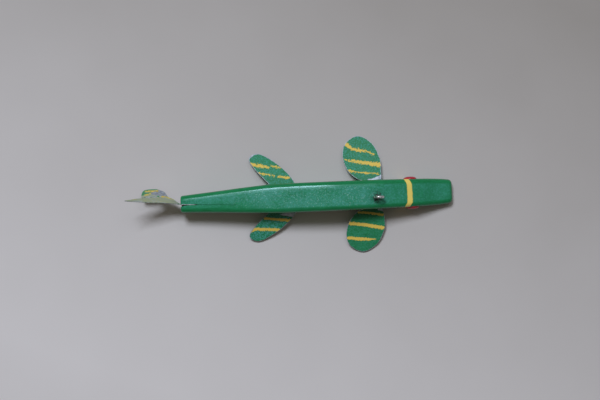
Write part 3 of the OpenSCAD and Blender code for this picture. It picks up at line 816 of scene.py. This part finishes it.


# strokes lie in the fish's own x and y, mm, each point with the stroke's half width; a wetter brush
# leaves a smoother edge. Each fin's root darkening is painted shade from the body's shadow, deeper on the
# right fins, and its bloom is partly a painted bluish sheen
finPaint = {
    "pectoral_left": {
        "bloom": 0.62, "wetness": 1, "rootShade": 0.15,
        "yellow": [[(-21.2, 37.4, 1.5), (-15.7, 32.9, 1.0), (-10.1, 31.5, 1.2), (-5.9, 31, 0.7),
                    (-0.4, 28.2, 0.7)],
                   [(-21.6, 25.4, 0.35), (-16.2, 24.3, 1.0), (-7.1, 22.6, 1.35), (2.9, 20.8, 1.75)],
                   [(-18.5, 17.3, 0.9), (-13, 16.3, 0.35), (-6.7, 15.3, 0.85), (-3, 15, 0.4),
                    (1.7, 14.3, 0.75)]],
        "bare": [[(-9, 10.6, -0.1), (-1.6, 10.8, 0.7), (5, 12.4, 1.7)]]},
    "pectoral_right": {
        "bloom": 0.3, "wetness": 1.9, "rootShade": 0.5,
        "yellow": [[(-13.2, -12.2, 0.8), (-5, -13, 0.8), (3.7, -14.6, 0.9)],
                   [(-20, -19.6, 1.1), (-10, -21, 1.2), (3.7, -23.8, 1.35)],
                   [(-21, -30.2, 1.2), (-10, -31.4, 1.2), (-1.5, -31.8, 0.4)]],
        "bare": [[(1.2, -10.6, 0.9), (4.8, -10.9, 1.1)]]},
    "pelvic_left": {
        "bloom": 0.62, "wetness": 1, "rootShade": 0.15,
        "yellow": [[(-87.7, 25.2, 0.9), (-80, 23.1, 1.2), (-75, 22.2, 0.9)],
                   [(-73.8, 23.2, 0.5), (-67.3, 21.8, 0.8)],
                   [(-82.2, 18.5, 0.6), (-71.7, 16, 0.55)], [(-68.9, 15.5, 0.6), (-61.9, 14.2, 1.1)]],
        "bare": [[(-90.2, 25.5, 0.3), (-89, 29.4, 0.75), (-85.9, 32.1, 0.7), (-81.6, 32.4, 0.4)]]},
    "pelvic_right": {
        "bloom": 1.1, "wetness": 1.9, "rootShade": 0.5,
        "yellow": [[(-79.5, -13.5, 0.8), (-61.3, -16, 1.0)],
                   [(-89.7, -23, 0.6), (-86.5, -20.9, 1.0), (-70, -22.2, 1.15)]],
        "bare": [[(-68, -11.2, 0.5), (-63, -11.6, 1.2), (-58.6, -12.2, 1.4)],
                 [(-90, -29.5, 0.4), (-85.3, -31.6, 0.6), (-80, -30.3, 0.6), (-74.2, -26.8, 0.75),
                  (-68.4, -22.3, 0.6), (-64, -17.8, 0.3)]]},
}


def finBlade(name, outline):  # the free edge, in the fin's own plane
    s = finShapes
    trim, broad, step, sweep = s["trim"], 1, 0, 0
    if name == "pectoral_right":
        trim, broad, step = s["rightTrim"], s["rightBroad"], s["rightStep"]
    if name == "pelvic_right":
        sweep = math.radians(s["pelvicRightSweep"])
    return [(step * smoothStep(0, 6, p.y) - p.x * broad * math.cos(sweep) - p.y * math.sin(sweep) * trim,
             -p.x * math.sin(sweep) + p.y * math.cos(sweep) * trim) for p in smoothPath(outline, 8)]


def thicken(piece):  # from a flat sheet to tin with softly snipped edges
    wall = piece.modifiers.new("sheet", "SOLIDIFY")
    wall.thickness, wall.offset, wall.material_offset_rim = finShapes["sheet"] * mm, 0, 1
    softened = piece.modifiers.new("snipped", "BEVEL")
    softened.width, softened.segments, softened.limit_method = finShapes["burr"] * mm, 1, "ANGLE"
    softened.angle_limit = math.radians(60)
    applyModifiers(piece)


def addFin(kind, sideName):
    s, side, name = finShapes, sides[sideName], kind + "_" + sideName
    paint, outline = finPaint[name], s[kind + "Outline"]
    blade = finBlade(name, outline)
    rear, front = -outline[-1][0], -outline[0][0]
    bm = bmesh.new()
    flatFace(bm, [(front, -s["tabDepth"])] + blade + [(rear, -s["tabDepth"])])
    xs, ys = [v.co.x for v in bm.verts], [v.co.y for v in bm.verts]
    cutGrid(bm, (min(xs), min(ys)), (max(xs), max(ys)), s["cell"])
    seed = 3 + len(name) + side
    for v in bm.verts:
        free, flat = smoothStep(1, 12, v.co.y), (v.co.x, v.co.y, 0)
        v.co.z += free * (s["waveDepth"] * grainAt(flat, s["waveSize"], seed)
                          + s["dentDepth"] * grainAt(flat, s["dentSize"], seed))
    bm.transform(finPlace(kind, side))
    piece = addPiece(kind + "_fin_tin_" + sideName, bm, [finEnamel, snippedTin])
    thicken(piece)
    home = finPlace(kind, side).inverted()
    yellow, bare = strokeField(paint["yellow"]), strokeField(paint["bare"])
    worn = strokeField([[(x, y, 0.3) for x, y in blade]])  # the thin worn edge of the blade
    # the bloom set here is partly a painted sheen, and the root darkening is painted shade from the body's
    # shadow
    setFields(piece, yellow=lambda p: paint["wetness"] * yellow(p), bloom=lambda p: paint["bloom"],
              bare=lambda p: max(bare(p), worn(home @ p)),
              grime=lambda p: paint["rootShade"] * smoothStep(7, 1, (home @ p).y))
    finishPiece(piece, "painted_sheet", kind + "_fin_" + sideName)


for kind in ("pectoral", "pelvic"):
    for name in sides:
        addFin(kind, name)
print("fins set")


# tail

def tailPoint(u, v):  # u behind the body and v up the sheet, to the bent sheet's place
    t = tailShape
    if u <= 0:
        return Vector((tailX - u, -t["kerfMouthY"] + u * math.tan(math.radians(t["kerfAngle"])),
                       middleZ(tailX) + v))
    ease, upperCrease, lowerCrease = smoothStep(0, t["leanStart"], u), t["upperCrease"], t["lowerCrease"]
    reach = u if v > upperCrease else min(u, t["reach"] - (u - t["reach"]) * t["bendBack"])
    tip, neck = t["frontHigh"][-1], t["tabHeight"] / 2
    top = neck + reach * (tip[1] - neck) / tip[0]
    high, low = max(v, upperCrease) - upperCrease, lowerCrease - min(v, lowerCrease)
    upper, lower = math.radians(t["upperLean"]), math.radians(t["lowerLean"])
    y = (-t["kerfMouthY"] + u * t["driftSlope"]
         + ease * math.sin(upper) * (top - upperCrease - high) + ease * math.sin(lower) * low)
    z = middleZ(tailX) + v - ease * (1 - math.cos(upper)) * high + ease * (1 - math.cos(lower)) * low
    return Vector((tailX - u, y, z))


tailPaint = {
    "yellow": [[(-163.2, 9.0, 0.5), (-154.3, 8.9, 0.5)], [(-163, 6.2, 0.5), (-159, 7.0, 0.45)],
               [(-151.2, 4.9, 0.55), (-148.4, 4.5, 0.45)], [(-148, 4.3, 0.25), (-143, 2.2, 0.25)]],
    "bare": [[(-158, 7.4, 0.9), (-153, 7.4, 1.9), (-148.5, 6.0, 1.5)],
             [(-154, 9.2, 0.4), (-151.5, 8.8, 0.8)]],
    "green": [[(-165.2, 7, 0.9), (-163.5, 9.6, 0.9), (-155, 10.6, 0.7)],
              [(-165, 6.8, 0.9), (-159, 8.1, 0.3)], [(-154, 5.1, 0.55), (-153.2, 5.0, 0.55)],
              [(-148.3, 5.3, 0.35), (-143, 2.9, 0.35), (-140, 0.8, 0.6), (-137, -1.4, 1.5)]],
    # mm: the strokes end at strokeTop and greenTop, but ahead of greenFront the green runs right up
    "strokeTop": 12, "greenTop": 13.5, "greenFront": -142,
    # faint slanting streaks above
    "streakPlace": (-140, 16), "streakSpacing": 5, "streakHalf": 0.1, "streakSlope": 0.35,
}


def addTail():
    t, paint = tailShape, tailPaint
    bm = bmesh.new()
    tab, neckU = t["tabHeight"] / 2, t["neckU"]
    neck = [Vector((neckU, tab * k / 4)) for k in range(-3, 4)]
    crotch = [Vector(t["rearLow"][-1]).lerp(Vector(t["rearHigh"][0]), k / 8) for k in range(1, 8)]
    chains = []
    for points in (smoothPath(t["frontLow"], 8) + neck + smoothPath(t["frontHigh"], 10),
                   smoothPath(t["rearLow"], 8) + crotch + smoothPath(t["rearHigh"], 10)):
        verts = [bm.verts.new((p.x, p.y, 0)) for p in points]
        chains.append([bm.edges.new(pair) for pair in zip(verts, verts[1:])])
    inner = [e for e in chains[0] if all(abs(v.co.x - neckU) < 0.01 for v in e.verts)]
    bmesh.ops.bridge_loops(bm, edges=chains[0] + chains[1])
    ribs = [e for e in bm.edges if e not in chains[0] and e not in chains[1]]
    bmesh.ops.subdivide_edges(bm, edges=ribs, cuts=9, use_grid_fill=True)
    for depth in spread(neckU, t["tabLength"] + 3, 3) + [t["tabLength"] + neckU]:
        moved = bmesh.ops.extrude_edge_only(bm, edges=inner)["geom"]
        inner = [g for g in moved if isinstance(g, bmesh.types.BMEdge)]
        rise = (backZ(tailX + depth) - backZ(tailX) + t["tabRise"]) * smoothStep(
            t["openLength"], t["openLength"] - t["tabFade"], depth)
        for v in {v for e in inner for v in e.verts}:
            v.co.x = neckU - depth
            v.co.y = tab * (1 if v.co.y > 0 else -1) if abs(v.co.y) > tab - 0.01 else v.co.y
            v.co.y += rise * (v.co.y > tab - 0.01)
    for v in bm.verts:
        ripple = 0.12 * grainAt((v.co.x, v.co.y, 0), 7, 5) * smoothStep(2, 12, v.co.x)
        v.co = tailPoint(v.co.x, v.co.y) + Vector((0, ripple, 0))
    piece = addPiece("forked_tail_tin", bm, [tailEnamel, snippedTin])
    thicken(piece)
    yellow, green, bare = [strokeField(paint[name]) for name in ("yellow", "green", "bare")]

    def yellowField(p):
        if p.z < paint["strokeTop"]:
            return yellow(p)
        x, z = paint["streakPlace"]
        place = p.z - z + paint["streakSlope"] * (p.x - x)
        return paint["streakHalf"] - abs(place % paint["streakSpacing"] - paint["streakSpacing"] / 2)

    # no green high on the rear of the tail: the upper lobe's paleness is partly a painted reflection
    def greenField(p):
        return green(p) if p.z < paint["greenTop"] or p.x > paint["greenFront"] else -0.9
    setFields(piece, yellow=yellowField, green=greenField,
              bare=lambda p: bare(p) if p.z < paint["strokeTop"] else -2)
    finishPiece(piece, "painted_tail_sheet", "tail_fin")


addTail()
print("tail set")


# screw eye

screwEye = {"ringDiameter": 8, "wire": 1.7, "rise": 5.4, "sideStep": 1.9, "shank": 14, "point": 3.4,
            "gap": 20, "start": 12, "yaw": -3}  # mm and degrees


def addScrewEye():
    e = screwEye
    radius, wire = (e["ringDiameter"] - e["wire"]) / 2, e["wire"] / 2
    base = backZ(0)
    centre = base + e["rise"]
    points = [(0, base - e["shank"], 0.1), (0, base - e["shank"] + e["point"], 1), (0, base - 2, 1),
              (0, centre - radius - 0.9, 1)]  # x, z and the share of the wire's thickness
    turns = 56
    for k in range(turns + 1):
        angle = math.radians(-90 + e["start"] + (360 - e["start"] - e["gap"]) * k / turns)
        points.append((radius * math.cos(angle), centre + radius * math.sin(angle), 1))
    curve = bpy.data.curves.new("wire", "CURVE")
    curve.dimensions, curve.use_fill_caps = "3D", True
    curve.bevel_depth, curve.bevel_resolution = wire * mm, 7
    spline = curve.splines.new("POLY")
    spline.points.add(len(points) - 1)
    for spot, (x, z, thick) in zip(spline.points, points):
        spot.co = (x * mm, 0, z * mm, 1)
        spot.radius = thick
    rod = addObject("wire", curve)
    bm = bmesh.new()
    bm.from_mesh(meshOf(rod))
    bpy.data.objects.remove(rod)
    bmesh.ops.remove_doubles(bm, verts=bm.verts, dist=1e-6)
    bm.transform(Matrix.Translation((0, -e["sideStep"] * mm, 0))
                 @ Matrix.Rotation(math.radians(e["yaw"]), 4, "Z"))
    bmesh.ops.scale(bm, vec=(1 / mm, 1 / mm, 1 / mm), verts=bm.verts)
    piece = addPiece("screw_eye_wire", bm, [platedSteel], 50)
    setFields(piece, paint=lambda p: (0.5 * smoothStep(1.2, -3.2, p.x) - 0.35
                                      + 0.5 * smoothStep(base + 2.4, base + 0.8, p.z)))
    finishPiece(piece, "bare_steel", "line_tie")


addScrewEye()
print("screw eye set")


# tack eyes

tackEye = {"head": 9.2, "dome": 1.9, "shank": 1.8, "shankLength": 8, "driven": 0.3, "lip": 0.28,
           "wornRim": 0.9}


def addTack(name, side):
    t = tackEye
    spot = centreOf("eye_tack_" + name)
    r = t["head"] / 2
    profile = [(0.01, -t["shankLength"]), (t["shank"] / 2, -t["shankLength"] / 2), (t["shank"] / 2, -0.3),
               (t["shank"] / 2 + 0.4, 0.02), (r - 0.35, 0.0), (r - 0.05, 0.05), (r, t["lip"])]
    for k in range(1, 11):
        a = math.radians(90 * k / 10)
        profile.append((r * math.cos(a) ** 0.9 if k < 10 else 0.01,
                        t["lip"] + (t["dome"] - t["lip"]) * math.sin(a)))
    bm = bmesh.new()
    verts = [bm.verts.new((x, 0, z)) for x, z in profile]
    edges = [bm.edges.new(pair) for pair in zip(verts, verts[1:])]
    bmesh.ops.spin(bm, geom=verts + edges, cent=(0, 0, 0), axis=(0, 0, 1), angle=math.tau, steps=72,
                   use_merge=True)
    bmesh.ops.remove_doubles(bm, verts=bm.verts, dist=0.03)
    wall = sideY(spot.x, side) - side * t["driven"]
    bm.transform(Matrix.Translation((spot.x, wall, spot.z)) @ Matrix.Rotation(-side * math.pi / 2, 4, "X"))
    piece = addPiece("tack_eye_" + name, bm, [redEnamel], 50)

    def rimField(p):
        away = math.hypot(p.x - spot.x, p.z - spot.z)
        return 0.5 * smoothStep(r - t["wornRim"], r, away) - 0.5
    setFields(piece, rim=rimField)
    finishPiece(piece, "eye_enamel", "eye_tack_" + name)


for name, side in sides.items():
    addTack(name, side)


# lead ballast

leadPour = {"recess": 0.12, "sag": 0.22, "cell": 1.2, "waveSize": 4}  # mm


def addBallast(name):
    low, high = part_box("ballast_" + name)
    low, high = low / mm, high / mm
    bm = slotPart(high.x - low.x, high.y - low.y, high.z, ((high.x + low.x) / 2, 0, 0))
    cutGrid(bm, low, high, leadPour["cell"])
    for v in bm.verts:
        if v.co.z < 0.01:
            wave = 0.5 + 0.5 * grainAt(v.co, leadPour["waveSize"], 9)
            v.co.z += leadPour["recess"] + leadPour["sag"] * wave
    piece = addPiece("lead_ballast_" + name, bm, [castLead])
    finishPiece(piece, "lead", "ballast_" + name)


addBallast("front")
addBallast("rear")
for name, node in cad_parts.items():
    if "brad" in name:
        for slot in node.material_slots:
            slot.material = paintedBrad
print("fasteners and ballast set")


# floor, lights and camera

studio = {
    "aim": -0.05,  # m, where along the fish both lamps point
    "keyPower": 17.5, "keyTurn": 20, "keyRise": 63, "keyAway": 1.7, "keySize": 0.42, "keyColour": "#F0F5FF",
    "fillPower": 2.6, "fillTurn": -35, "fillRise": 60, "fillAway": 1.6, "fillSize": 0.7,
    "fillColour": "#F4F7FF",
    "ambient": 0.125, "ambientColour": "#FFF0DC",
    "floorLight": "#E6E4E6", "floorDark": "#A39F9B", "floorSize": 3000, "mottleSize": 90,  # mm
}


# matt grey studio backdrop with painted light and shade: a darker grey towards the key light's side and the
# snout, lighter towards the fish's right and tail
def makeBackdrop():
    material, tree, coords = newMaterial("studio_backdrop")
    mottle = speckle(tree, coords, studio["mottleSize"], 3)
    across = addNode(tree, "VectorMath", {0: coords, 1: (0.5, 1.3, 0)}, operation="DOT_PRODUCT")
    # painted light falloff across the floor, with a faint mottle
    tone = timesPlus(tree, mottle, 0.15, ramp(tree, across.outputs["Value"], -0.25, 0.27))
    colour = blend(tree, tone, studio["floorLight"], studio["floorDark"])
    setShader(tree, {"Base Color": colour, "Roughness": 0.9})
    return material


def addLight(kind):
    light = bpy.data.lights.new(kind + "_light", "AREA")
    light.energy, light.size = studio[kind + "Power"], studio[kind + "Size"]
    light.color = linearColour(studio[kind + "Colour"])[:3]
    place = lampPlace(studio[kind + "Turn"], studio[kind + "Rise"], studio[kind + "Away"])
    lamp = addObject(light.name, light)
    lamp.location = place
    aim = Vector((studio["aim"], 0, 0))
    lamp.rotation_euler = (aim - Vector(place)).to_track_quat("-Z", "Y").to_euler()


def lampPlace(turn, rise, away):  # turn is measured from the fish's left side towards its tail
    turn, rise = math.radians(turn), math.radians(rise)
    return (studio["aim"] - away * math.cos(rise) * math.sin(turn),
            away * math.cos(rise) * math.cos(turn), away * math.sin(rise))


floorMesh = bmesh.new()
bmesh.ops.create_grid(floorMesh, x_segments=8, y_segments=8, size=studio["floorSize"])
floor = addPiece("floor", floorMesh, [makeBackdrop()])
addLight("key")
addLight("fill")
world = bpy.data.worlds.new("studio_air")
bpy.context.scene.world = world
world.use_nodes = True
air = world.node_tree.nodes["Background"].inputs
air["Color"].default_value = linearColour(studio["ambientColour"])
air["Strength"].default_value = studio["ambient"]

view = {"place": (-0.0541, -0.00174, 0.870), "turn": -2.43, "lens": 73.36}
camera = addObject("camera", bpy.data.cameras.new("camera"))
camera.location = view["place"]
camera.rotation_euler = (0, 0, math.radians(view["turn"]))
camera.data.lens = view["lens"]
camera.data.clip_start = 0.01
bpy.context.scene.camera = camera
print("studio set")
